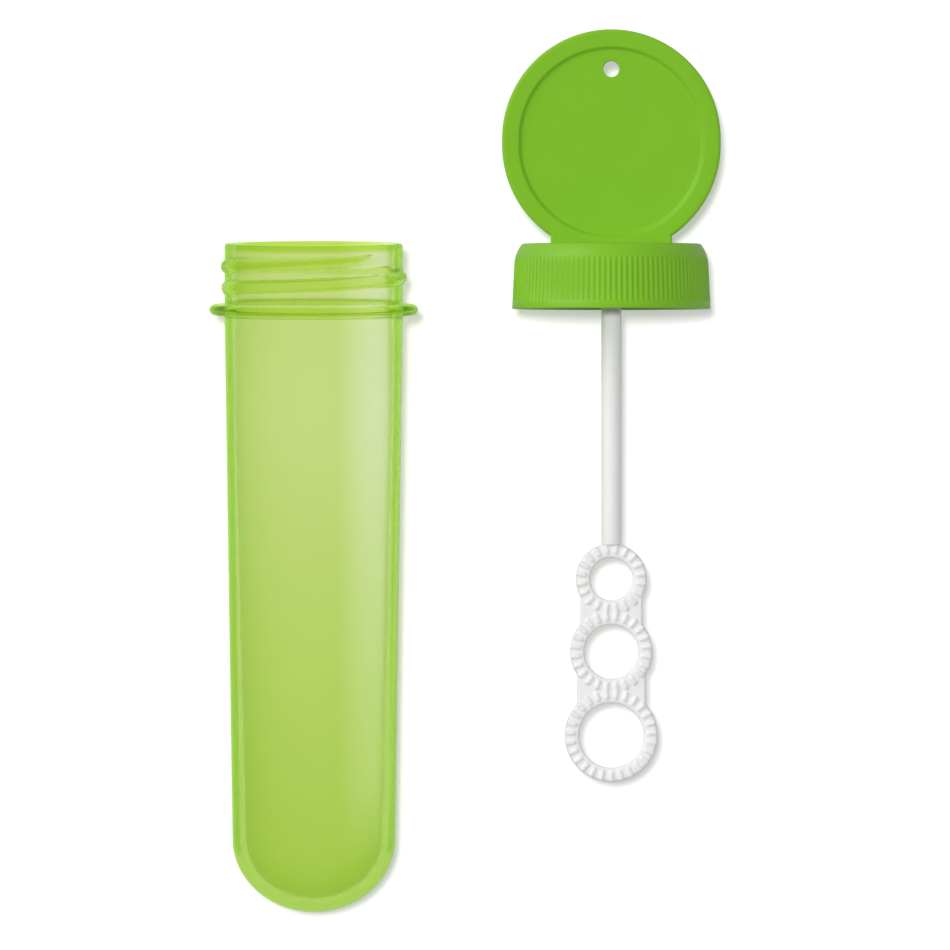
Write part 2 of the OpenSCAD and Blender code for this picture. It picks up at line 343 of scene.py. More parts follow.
def spin_outline(name, outline, steps, closed=False):
    """Draws an outline of (radius, height) points in the XZ plane and spins it round Z."""
    select_only()
    radius, height = outline[0]
    bpy.ops.mesh.primitive_plane_add(size=MM, location=(radius, 0, height))
    piece = rename(bpy.context.object, name)
    bpy.ops.object.transform_apply(location=True)
    bpy.ops.object.mode_set(mode="EDIT")
    bpy.ops.mesh.select_mode(type="VERT")
    bpy.ops.mesh.select_all(action="SELECT")
    bpy.ops.mesh.merge(type="CENTER")
    for here, there in zip(outline, outline[1:]):
        step = (there[0] - here[0], 0, there[1] - here[1])
        bpy.ops.mesh.extrude_vertices_move(TRANSFORM_OT_translate={"value": step})
    if closed:
        mesh = bmesh.from_edit_mesh(piece.data)
        for point in mesh.verts:
            point.select_set(len(point.link_edges) < 2)
        mesh.select_flush_mode()
        bmesh.update_edit_mesh(piece.data)
        bpy.ops.mesh.edge_face_add()
    bpy.ops.mesh.select_all(action="SELECT")
    bpy.ops.mesh.spin(steps=steps, angle=2 * math.pi, center=(0, 0, 0), axis=(0, 0, 1))
    bpy.ops.object.mode_set(mode="OBJECT")
    close_mesh(piece)
    return piece


def stretch_plate(plate, amount):
    """Moves the two halves of a round plate apart along Y."""
    for side in (1, -1):
        edit_points(plate, lambda point: point.y * side > MERGE)
        bpy.ops.transform.translate(value=(0, side * amount / 2, 0))
    leave_edit_mode()


def stick_radius():
    """Radius of the wand's stick, which the cap's boss and the liner go round."""
    return bpy.context.scene.bubble_wand.stick_diameter / 2


def smooth_step(x):
    x = min(max(x, 0), 1)
    return x * x * (3 - 2 * x)


def wind_thread(piece, wall, rise, top, pitch, turns, half_width, start, run_in, run_out):
    """Lifts a right-hand screw thread out of a dense round wall about Z.

    The thread starts at the height top and the angle start, measured from -Y towards +X, and winds
    down. A negative rise points inwards. run_in and run_out are the angles over which it fades."""
    whole = turns * 2 * math.pi
    for point in piece.data.vertices:
        x, y, z = point.co
        radius = math.hypot(x, y)
        if abs(radius - wall) > NEAR:
            continue
        turned = (start - math.atan2(x, -y)) % (2 * math.pi)
        lift = 0
        while turned < whole:
            off = (top - turned / (2 * math.pi) * pitch - z) / half_width
            if abs(off) < 1:
                fade = smooth_step(turned / run_in) * smooth_step((whole - turned) / run_out)
                lift = max(lift, (1 - off * off) ** 0.8 * fade)
            turned += 2 * math.pi
        scale = 1 + rise * lift / radius
        point.co.x *= scale
        point.co.y *= scale


def dress(piece, material, body, node, sharp=35):
    """Shades the piece, gives it its material and ties it to the frame."""
    select_only(piece)
    bpy.ops.object.shade_smooth_by_angle(angle=math.radians(sharp))
    piece.data.materials.clear()
    piece.data.materials.append(material)
    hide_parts(node)
    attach(piece, body)


# Materials


def moulded_skin():
    """Shader group for moulded plastic: slight clouds in the colour and gloss, and a fine grain."""
    name = "moulded skin"
    if name in bpy.data.node_groups:
        return bpy.data.node_groups[name]
    group = bpy.data.node_groups.new(name, "ShaderNodeTree")
    sockets = group.interface
    colour = sockets.new_socket("Colour", in_out="INPUT", socket_type="NodeSocketColor")
    colour.default_value = (0.5, 0.5, 0.5, 1)
    for label, value in (
        ("Cloud Scale", 120.0), ("Cloud Amount", 0.05), ("Roughness", 0.35),
        ("Roughness Spread", 0.06), ("Grain Scale", 4000.0), ("Grain Height", 0.1),
    ):
        socket = sockets.new_socket(label, in_out="INPUT", socket_type="NodeSocketFloat")
        socket.default_value = value
    sockets.new_socket("Colour", in_out="OUTPUT", socket_type="NodeSocketColor")
    sockets.new_socket("Roughness", in_out="OUTPUT", socket_type="NodeSocketFloat")
    sockets.new_socket("Normal", in_out="OUTPUT", socket_type="NodeSocketVector")
    nodes, links = group.nodes, group.links
    given = nodes.new("NodeGroupInput")
    made = nodes.new("NodeGroupOutput")
    coords = nodes.new("ShaderNodeTexCoord")

    cloud = nodes.new("ShaderNodeTexNoise")
    cloud.inputs["Detail"].default_value = 3
    links.new(coords.outputs["Object"], cloud.inputs["Vector"])
    links.new(given.outputs["Cloud Scale"], cloud.inputs["Scale"])
    centred = nodes.new("ShaderNodeMath")
    centred.operation = "SUBTRACT"
    centred.inputs[1].default_value = 0.5
    links.new(cloud.outputs["Fac"], centred.inputs[0])

    shade = nodes.new("ShaderNodeMath")
    shade.operation = "MULTIPLY_ADD"
    shade.inputs[2].default_value = 1
    links.new(centred.outputs[0], shade.inputs[0])
    links.new(given.outputs["Cloud Amount"], shade.inputs[1])
    tint = nodes.new("ShaderNodeVectorMath")
    tint.operation = "SCALE"
    links.new(given.outputs["Colour"], tint.inputs[0])
    links.new(shade.outputs[0], tint.inputs["Scale"])
    links.new(tint.outputs[0], made.inputs["Colour"])

    gloss = nodes.new("ShaderNodeMath")
    gloss.operation = "MULTIPLY_ADD"
    links.new(centred.outputs[0], gloss.inputs[0])
    links.new(given.outputs["Roughness Spread"], gloss.inputs[1])
    links.new(given.outputs["Roughness"], gloss.inputs[2])
    links.new(gloss.outputs[0], made.inputs["Roughness"])

    grain = nodes.new("ShaderNodeTexNoise")
    grain.inputs["Detail"].default_value = 2
    links.new(coords.outputs["Object"], grain.inputs["Vector"])
    links.new(given.outputs["Grain Scale"], grain.inputs["Scale"])
    bump = nodes.new("ShaderNodeBump")
    bump.inputs["Distance"].default_value = 0.02 * MM
    links.new(given.outputs["Grain Height"], bump.inputs["Strength"])
    links.new(grain.outputs["Fac"], bump.inputs["Height"])
    links.new(bump.outputs["Normal"], made.inputs["Normal"])
    return group


def ramp(tree, value, start, stop):
    """Node that rises from 0, where the value is start, to 1, where it is stop."""
    node = tree.nodes.new("ShaderNodeMapRange")
    node.inputs["From Min"].default_value = start
    node.inputs["From Max"].default_value = stop
    tree.links.new(value, node.inputs["Value"])
    return node


def blend(tree, factor, first, second):
    """Colour that goes from the first, a colour or a socket, to the second with the factor."""
    mix = tree.nodes.new("ShaderNodeMix")
    mix.data_type = "RGBA"
    mix.inputs["B"].default_value = (*second, 1)
    tree.links.new(factor, mix.inputs["Factor"])
    if isinstance(first, bpy.types.NodeSocket):
        tree.links.new(first, mix.inputs["A"])
    else:
        mix.inputs["A"].default_value = (*first, 1)
    return mix.outputs["Result"]


def plastic(name, colour, skin, shader):
    """Moulded plastic with the shared skin; skin and shader give the sockets that differ."""
    material = bpy.data.materials.new(name)
    material.use_nodes = True
    nodes, links = material.node_tree.nodes, material.node_tree.links
    principled = nodes["Principled BSDF"]
    surface = nodes.new("ShaderNodeGroup")
    surface.node_tree = moulded_skin()
    surface.inputs["Colour"].default_value = (*colour, 1)
    for label, value in skin.items():
        surface.inputs[label].default_value = value
    for label, value in shader.items():
        principled.inputs[label].default_value = value
    links.new(surface.outputs["Colour"], principled.inputs["Base Color"])
    links.new(surface.outputs["Roughness"], principled.inputs["Roughness"])
    links.new(surface.outputs["Normal"], principled.inputs["Normal"])
    return material


# Pieces


class BUBBLE_OT_tube(bpy.types.Operator):
    """Build the translucent tube with its screw neck, collar and round end"""

    bl_idname = "bubble.tube"
    bl_label = "Build tube"

    def execute(self, context):
        tube = context.scene.bubble_tube
        shell = spin_outline("tube_shell", self.outline(tube), steps=256)
        wind_thread(
            shell, wall=TUBE_BORE + tube.wall, rise=tube.thread_height, top=-2.1 * MM,
            pitch=tube.thread_pitch, turns=tube.thread_turns, half_width=1.0 * MM,
            start=math.radians(60), run_in=math.radians(50), run_out=math.radians(70))
        turn = Vector((0, 0, 1)).rotation_difference(TUBE_AXIS).to_matrix().to_4x4()
        place(shell, Matrix.Translation(TUBE_MOUTH) @ turn)
        skin = {
            "Cloud Scale": 60.0, "Cloud Amount": 0.04, "Roughness": 0.16,
            "Roughness Spread": 0.05, "Grain Scale": 2500.0, "Grain Height": 0.02,
        }
        shader = {
            "Transmission Weight": 1.0, "IOR": 1.15, "Sheen Weight": 1.0, "Sheen Roughness": 0.52,
            "Sheen Tint": (*tube.edge_colour, 1),
        }
        clear = plastic("clear green plastic", tube.colour, skin, shader)
        self.grade(tube, clear.node_tree)
        nodes, links = clear.node_tree.nodes, clear.node_tree.links
        depth = nodes.new("ShaderNodeVolumeAbsorption")
        depth.inputs["Color"].default_value = (*tube.depth_colour, 1)
        depth.inputs["Density"].default_value = tube.depth_density
        links.new(depth.outputs[0], nodes["Material Output"].inputs["Volume"])
        dress(shell, clear, "tube", "tube")
        return {"FINISHED"}

    def outline(self, tube):
        """Outline from the foot of the bore, over the mouth and down the outside to the end."""
        neck = TUBE_BORE + tube.wall
        edge = tube.collar_thickness / 2
        collar = neck + tube.collar_reach
        fillet = 0.35 * MM
        lip = 0.3 * MM
        lean = math.tan(tube.draft)
        body_top = tube.neck_height + tube.collar_thickness
        end = (neck - (TUBE_LENGTH - body_top) * lean) / (1 - tube.end_share * lean)
        end_z = tube.end_share * end - TUBE_LENGTH
        inner_end = end - tube.end_wall
        inner_share = (tube.end_share * end - tube.end_wall) / inner_end
        neck_rows = 72
        body_rows = 14
        end_rows = 28

        inside = arc((0, end_z), inner_end, -90, 0, end_rows, inner_share)
        inside[0] = (0, end_z - inner_share * inner_end)
        bore_end = (TUBE_BORE, -tube.bore_length)
        inside += straight(inside[-1], bore_end, body_rows) + [bore_end]
        mouth = arc((TUBE_BORE + lip, -lip), lip, 180, 90, 5)
        mouth += arc((neck - lip, -lip), lip, 90, 0, 5)
        neck_foot = arc((neck + fillet, fillet - tube.neck_height), fillet, 180, 270, 4)
        collar_round = arc((collar - edge, -tube.neck_height - edge), edge, 90, -90, 14)
        body_head = arc((neck + fillet, -body_top - fillet), fillet, 90, 180, 4)
        outside = arc((0, end_z), end, 0, -90, end_rows, tube.end_share)
        outside[-1] = (0, -TUBE_LENGTH)
        return (
            inside + mouth + straight(mouth[-1], neck_foot[0], neck_rows) + neck_foot
            + collar_round + body_head + straight(body_head[-1], outside[0], body_rows) + outside
        )

    def grade(self, tube, tree):
        """Deepens the tint towards the round end, on the thread, collar and rim, and edge-on."""

        def measure(operation, first, second):
            node = tree.nodes.new("ShaderNodeVectorMath")
            node.operation = operation
            tree.links.new(first, node.inputs[0])
            if isinstance(second, Vector):
                node.inputs[1].default_value = second
            else:
                tree.links.new(second, node.inputs[1])
            return node.outputs

        def merge(operation, first, second):
            node = tree.nodes.new("ShaderNodeMath")
            node.operation = operation
            node.use_clamp = True
            tree.links.new(first, node.inputs[0])
            tree.links.new(second, node.inputs[1])
            return node.outputs[0]

        def mask(value, start, stop):
            return ramp(tree, value, start, stop).outputs[0]

        point = tree.nodes.new("ShaderNodeTexCoord").outputs["Object"]
        along = tree.nodes.new("ShaderNodeSeparateXYZ")
        tree.links.new(point, along.inputs[0])
        from_mouth = measure("SUBTRACT", point, TUBE_MOUTH)["Vector"]
        on_axis = measure("PROJECT", from_mouth, TUBE_AXIS)["Vector"]
        radius = measure("DISTANCE", from_mouth, on_axis)["Value"]
        depth = measure("DOT_PRODUCT", from_mouth, -TUBE_AXIS)["Value"]
        facing = tree.nodes.new("ShaderNodeLayerWeight").outputs["Facing"]

        neck = TUBE_BORE + tube.wall
        far = mask(along.outputs["Y"], 5 * MM, -62 * MM)
        raised = mask(radius, neck + 0.05 * MM, neck + 0.4 * MM)
        rim = mask(depth, 1.3 * MM, 0.7 * MM)
        outside = mask(radius, TUBE_BORE + 0.08 * MM, TUBE_BORE + 0.25 * MM)
        edge_on = mask(facing, 0.55, 0.62)
        ridge_top = merge("SUBTRACT", merge("MAXIMUM", raised, rim), edge_on)
        plain_edge = merge("SUBTRACT", merge("MINIMUM", outside, edge_on), raised)

        colour = blend(tree, far, tube.colour, tube.end_colour)
        colour = blend(tree, ridge_top, colour, tube.ridge_colour)
        colour = blend(tree, plain_edge, colour, tube.wall_colour)
        tree.links.new(colour, tree.nodes["Group"].inputs["Colour"])


class BUBBLE_OT_cap(bpy.types.Operator):
    """Build the fluted cap with its disc tab"""

    bl_idname = "bubble.cap"
    bl_label = "Build cap"

    def execute(self, context):
        cap = context.scene.bubble_cap
        piece = self.cup(cap, context.scene.bubble_tube)
        tab = self.disc(cap)
        combine(tab, self.stem(cap), "UNION")
        combine(tab, self.recess_cutters(cap), "DIFFERENCE")
        combine(tab, self.hole_cutter(cap), "DIFFERENCE")
        combine(piece, tab, "UNION")
        close_mesh(piece)
        place(piece, Matrix.Translation(SET_ORIGIN))
        skin = {
            "Cloud Scale": 150.0, "Cloud Amount": 0.06, "Roughness": 0.42,
            "Roughness Spread": 0.06, "Grain Scale": 3000.0, "Grain Height": 0.15,
        }
        shader = {"IOR": 1.49, "Specular IOR Level": 0.35}
        dress(piece, plastic("green plastic", cap.colour, skin, shader),
              "cap_set", "cap", sharp=42)
        apply_modifier(piece, "WEIGHTED_NORMAL", keep_sharp=True)
        return {"FINISHED"}

    def side(self, cap, height):
        """Radius of the cap's sloping side at a height above the rim."""
        return RIM_RADIUS - height * math.tan(cap.slope)

    def cup(self, cap, tube):
        """Cup with the stick's boss inside, and the grip grooves round it, along +Y."""
        neck = TUBE_BORE + tube.wall
        bore = neck + tube.thread_height
        lip = neck + 0.2 * MM
        ceiling = LINER_HIGH.y - CAP_LOW.y
        thread_top = LINER_LOW.y - CAP_LOW.y - 1.0 * MM
        socket = stick_radius() + 0.05 * MM
        boss = socket + 1.3 * MM
        boss_end = ceiling - 5.0 * MM
        edge = 0.2 * MM
        side_top = cap.height - cap.shoulder_height

        rows = [cap.rim_band, cap.rim_band + 0.12 * MM, cap.rim_band + 0.3 * MM]
        rows += [cap.rim_band + (side_top - cap.rim_band) * share for share in (0.4, 0.7)]
        curve = cap.shoulder_curve
        outward = Vector((math.cos(cap.slope), math.sin(cap.slope)))
        middle = Vector((self.side(cap, side_top), side_top)) - curve * outward
        reach = curve - cap.edge_round
        turn = math.asin((cap.height - cap.edge_round - middle.y) / reach)
        corner = middle + reach * Vector((math.cos(turn), math.sin(turn)))
        crown = arc(middle, curve, math.degrees(cap.slope), math.degrees(turn), 14)
        crown += arc(corner, cap.edge_round, math.degrees(turn), 90, 5)[1:]
        outline = [
            (0, ceiling), (socket, ceiling), (socket, boss_end + edge), (socket + edge, boss_end),
            (boss - edge, boss_end), (boss, boss_end + edge), (boss, ceiling - edge),
            (boss + edge, ceiling), (lip, ceiling), (lip, thread_top + bore - lip),
            (bore, thread_top), (bore, edge), (bore + edge, 0),
        ]
        outline += arc((RIM_RADIUS - edge, edge), edge, -90, 0, 4)
        outline += [(self.side(cap, row), row) for row in rows] + crown + [(0, cap.height)]
        cup = spin_outline("cap_moulding", outline, steps=FLUTE_COLUMNS * cap.flute_count)
        self.flute(cap, cup, rows, crown)
        self.line_bore(tube, cup, bore, edge)
        place(cup, Matrix.Rotation(math.radians(-90), 4, "X"))
        return cup

    def flute(self, cap, cup, rows, crown):
        """Presses the grip grooves into the side, from above the rim's band up to the shoulder."""
        columns_round = FLUTE_COLUMNS * cap.flute_count / (2 * math.pi)
        depths = {
            column: cap.flute_depth * (1 + math.cos(2 * math.pi * column / FLUTE_COLUMNS)) / 2
            for column in range(FLUTE_COLUMNS // 2)
        }
        full_depth = rows[2]
        for radius, height in [(self.side(cap, row), row) for row in rows[1:]] + crown:
            share = 0.5 if height < full_depth - MERGE else 1
            for column, depth in depths.items():
                floor = self.side(cap, height) - depth * share
                if floor >= radius:
                    continue

                def in_groove(point):
                    if abs(point.z - height) > NEAR or abs(point.xy.length - radius) > NEAR:
                        return False
                    here = round(math.atan2(point.y, point.x) * columns_round) % FLUTE_COLUMNS
                    return min(here, FLUTE_COLUMNS - here) == column

                edit_points(cup, in_groove)
                scale = floor / radius
                bpy.ops.transform.resize(value=(scale, scale, 1), center_override=(0, 0, 0))

    def line_bore(self, tube, cup, bore, edge):
        """Divides the bore's wall into fine rows and winds the inner screw thread on it."""
        edit_points(cup, lambda point: abs(point.xy.length - bore) < NEAR)
        bpy.ops.mesh.select_mode(type="EDGE")
        mesh = bmesh.from_edit_mesh(cup.data)
        for line in mesh.edges:
            upright = abs(line.verts[0].co.z - line.verts[1].co.z) > edge
            line.select_set(line.select and upright)
        bmesh.update_edit_mesh(cup.data)
        bpy.ops.mesh.subdivide(number_cuts=47)
        leave_edit_mode()
        wind_thread(
            cup, wall=bore, rise=-0.4 * MM, top=6.0 * MM, pitch=tube.thread_pitch, turns=1.25,
            half_width=0.9 * MM, start=0.0, run_in=math.radians(40), run_out=math.radians(40))

    def disc(self, cap):
        """Plain oval tab with round edges, flat in XY."""
        half = cap.disc_thickness / 2
        rounding = 0.45 * MM
        upper = [(0, half), (DISC_RADIUS - 2 * rounding, half)]
        upper += arc((DISC_RADIUS - rounding, half - rounding), rounding, 90, 0, 6)
        outline = upper + [(radius, -height) for radius, height in reversed(upper)]
        tab = spin_outline("disc_tab", outline, steps=256)
        stretch_plate(tab, cap.disc_stretch)
        place(tab, Matrix.Translation((0, self.disc_middle(cap), 0)))
        return tab

    def disc_middle(self, cap):
        """Height of the disc's middle above the cap's rim."""
        return CAP_HIGH.y - CAP_LOW.y - DISC_RADIUS - cap.disc_stretch / 2

    def stem(self, cap):
        """Short neck that joins the disc to the cap's top, let into both."""
        let_into_cap = 0.6 * MM
        let_into_disc = 0.3 * MM
        bottom = cap.height - let_into_cap
        half_width = cap.stem_width / 2
        lower = self.disc_middle(cap) - cap.disc_stretch / 2
        top = lower - math.sqrt(DISC_RADIUS ** 2 - half_width ** 2) + let_into_disc
        select_only()
        bpy.ops.mesh.primitive_cube_add(size=1, location=(0, (top + bottom) / 2, 0))
        stem = rename(bpy.context.object, "stem")
        stem.scale = (cap.stem_width, top - bottom, cap.disc_thickness)
        bpy.ops.object.transform_apply(location=True, rotation=True, scale=True)
        apply_modifier(stem, "BEVEL", width=0.3 * MM, segments=3, limit_method="ANGLE")
        return stem

    def recess_cutters(self, cap):
        """Cutters for the sunk face on each side, with soft edges at its foot and at the border."""
        half = cap.disc_thickness / 2
        floor = FACE_CENTRE.z - HOLE_CENTRE.z
        sunk = DISC_RADIUS - cap.disc_border
        foot = sunk - 0.4 * MM
        soft = 0.1 * MM
        outline = [(0, floor), (foot - 4 * soft, floor), (foot - 1.4 * soft, floor)]
        outline += [(foot - 0.2 * soft, floor + 0.3 * soft), (foot + 0.7 * soft, floor + soft)]
        outline += [(sunk - 0.7 * soft, half - soft), (sunk + 0.2 * soft, half - 0.3 * soft)]
        outline += [(sunk + 1.6 * soft, half + 0.05 * soft), (sunk + 1.6 * soft, 2 * half)]
        outline += [(0, 2 * half)]
        cutters = []
        for side in (1, -1):
            faced = [(radius, side * height) for radius, height in outline]
            cutter = spin_outline("recess_cutter", faced, steps=256)
            stretch_plate(cutter, cap.disc_stretch)
            cutters.append(cutter)
        select_only(*cutters)
        bpy.ops.object.join()
        cutter = bpy.context.object
        place(cutter, Matrix.Translation((0, FACE_CENTRE.y - SET_ORIGIN.y, 0)))
        return cutter

    def hole_cutter(self, cap):
        """Cutter for the lanyard hole, flared so that the hole's edges come out rounded."""
        floor = FACE_CENTRE.z - HOLE_CENTRE.z
        flare = 0.18 * MM
        beyond = cap.disc_thickness
        upper = [(0, beyond), (HOLE_RADIUS + flare, beyond)]
        upper += arc((HOLE_RADIUS + flare, floor - flare), flare, 90, 180, 5)
        outline = upper + [(radius, -height) for radius, height in reversed(upper)]
        cutter = spin_outline("hole_cutter", outline, steps=64)
        place(cutter, Matrix.Translation((0, HOLE_CENTRE.y - SET_ORIGIN.y, 0)))
        return cutter


class BUBBLE_OT_liner(bpy.types.Operator):
    """Build the foam washer that seals the tube's mouth inside the cap"""

    bl_idname = "bubble.liner"
    bl_label = "Build liner"

    def execute(self, context):
        cap = context.scene.bubble_cap
        outer = (LINER_HIGH.x - LINER_LOW.x) / 2
        room_for_boss = 1.55 * MM
        inner = stick_radius() + room_for_boss
        low = LINER_LOW.y - CAP_LOW.y
        high = LINER_HIGH.y - CAP_LOW.y
        edge = 0.15 * MM
        outline = (
            arc((inner + edge, high - edge), edge, 180, 90, 3)
            + arc((outer - edge, high - edge), edge, 90, 0, 3)
            + arc((outer - edge, low + edge), edge, 0, -90, 3)
            + arc((inner + edge, low + edge), edge, -90, -180, 3)
        )
        liner = spin_outline("foam_liner", outline, steps=128, closed=True)
        place(liner, Matrix.Translation(SET_ORIGIN) @ Matrix.Rotation(math.radians(-90), 4, "X"))
        skin = {
            "Cloud Scale": 400.0, "Cloud Amount": 0.08, "Roughness": 0.75,
            "Roughness Spread": 0.1, "Grain Scale": 3000.0, "Grain Height": 0.8,
        }
        dress(liner, plastic("white foam", cap.liner_colour, skin, {"IOR": 1.45}),
              "cap_set", "cap_liner")
        return {"FINISHED"}


class BUBBLE_OT_wand(bpy.types.Operator):
    """Build the dipping wand with its stick and three ribbed loops"""

    bl_idname = "bubble.wand"
    bl_label = "Build wand"

    def execute(self, context):
        wand = context.scene.bubble_wand
        inner = [wand.first_loop / 2, wand.second_loop / 2, wand.third_loop / 2]
        outer = [radius + wand.band for radius in inner]
        tip = WAND_LOW.y - SET_ORIGIN.y
        third = tip + outer[2]
        second = third + outer[2] + outer[1] - wand.overlap
        first = second + outer[1] + outer[0] - wand.overlap
        centres = [first, second, third]
        web_widths = (9.3 * MM, 10.3 * MM)
        parts = []
        for radius, centre in zip(inner, centres):
            parts += self.loop(wand, radius, centre)
        for i, width in enumerate(web_widths):
            parts.append(self.web(wand, width, centres[i:i + 2], inner[i:i + 2]))
        loops = self.melt(parts)
        stick = self.stick(wand, first + outer[0])
        combine(stick, loops, "UNION")
        close_mesh(stick)
        place(stick, Matrix.Translation(SET_ORIGIN))
        skin = {
            "Cloud Scale": 200.0, "Cloud Amount": 0.03, "Roughness": 0.4,
            "Roughness Spread": 0.06, "Grain Scale": 3000.0, "Grain Height": 0.1,
        }
        shader = {"IOR": 1.49}
        dress(rename(stick, "wand_moulding"), plastic("white plastic", wand.colour, skin, shader),
              "cap_set", "wand", sharp=40)
        return {"FINISHED"}

    def loop(self, wand, radius, centre):
        """Band of one loop and the ribs on both its faces."""
        half = wand.thickness / 2
        lip = 0.35 * MM
        edge = 0.6 * MM
        low, high = radius + lip, radius + wand.band - edge
        outline = (
            arc((low, half - lip), lip, 180, 90, 4) + arc((high, half - edge), edge, 90, 0, 4)
            + arc((high, edge - half), edge, 0, -90, 4) + arc((low, lip - half), lip, -90, -180, 4)
        )
        band = spin_outline("loop_band", outline, steps=128, closed=True)
        rib_radius = 0.45 * MM
        rib_height = 0.3 * MM
        rib_inset = 0.45 * MM
        rise = half + rib_height - rib_radius
        start = radius + rib_inset + rib_radius
        length = wand.band - rib_inset - 2 * rib_radius
        count = round(2 * math.pi * (radius + wand.band / 2) / wand.rib_pitch)
        half_turn = math.pi / count
        ribs = []
        for level in (rise, -rise):
            select_only()
            bpy.ops.mesh.primitive_uv_sphere_add(
                segments=12, ring_count=8, radius=rib_radius, location=(start, 0, level),
                rotation=(0, math.radians(90), 0))
            rib = bpy.context.object
            bpy.ops.object.transform_apply(location=True, rotation=True, scale=True)
            edit_points(rib, lambda point: point.x > start + MERGE)
            bpy.ops.transform.translate(value=(length, 0, 0))
            leave_edit_mode()
            place(rib, Matrix.Rotation(half_turn + math.radians(90), 4, "Z"))
            bpy.ops.object.mode_set(mode="EDIT")
            bpy.ops.mesh.select_all(action="SELECT")
            bpy.ops.mesh.spin(
                steps=count, dupli=True, angle=2 * math.pi, center=(0, 0, 0), axis=(0, 0, 1))
            leave_edit_mode()
            ribs.append(rib)
        made = [band] + ribs
        for part in made:
            place(part, Matrix.Translation((0, centre, 0)))
        return made

    def web(self, wand, width, centres, inner):
        """Flat web between two neighbouring loops, clear of their holes."""
        upper, lower = centres
        thickness = 1.3 * MM
        select_only()
        bpy.ops.mesh.primitive_cube_add(size=1, location=(0, (upper + lower) / 2, 0))
        web = rename(bpy.context.object, "web")
        web.scale = (width, upper - lower, thickness)
        bpy.ops.object.transform_apply(location=True, rotation=True, scale=True)
        apply_modifier(web, "BEVEL", width=0.3 * MM, segments=3, limit_method="ANGLE")
        for radius, centre in zip(inner, centres):
            select_only()
            bpy.ops.mesh.primitive_cylinder_add(
                vertices=96, radius=radius + wand.band / 2, depth=10 * MM, location=(0, centre, 0))
            combine(web, bpy.context.object, "DIFFERENCE")
        return web

    def melt(self, parts):
        """Melts bands, ribs and webs into one moulding with soft edges."""
        select_only(*parts)
        bpy.ops.object.join()
        loops = rename(bpy.context.object, "loops")
        apply_modifier(loops, "REMESH", mode="VOXEL", voxel_size=0.1 * MM)
        apply_modifier(loops, "SMOOTH", factor=0.5, iterations=8)
        apply_modifier(loops, "DECIMATE", ratio=0.5)
        return loops

    def stick(self, wand, end):
        """Round stick along +Y, from the cap's ceiling to the first loop."""
        radius = wand.stick_diameter / 2
        top = WAND_HIGH.y - SET_ORIGIN.y
        edge = 0.3 * MM
        let_into_loop = 0.3 * MM
        foot = end - let_into_loop
        outline = [(0, foot)] + arc((radius - edge, foot + edge), edge, -90, 0, 4)
        outline += straight((radius, foot + edge), (radius, top - edge), 12)
        outline += arc((radius - edge, top - edge), edge, 0, 90, 4) + [(0, top)]
        stick = spin_outline("stick", outline, steps=96)
        place(stick, Matrix.Rotation(math.radians(-90), 4, "X"))
        return stick


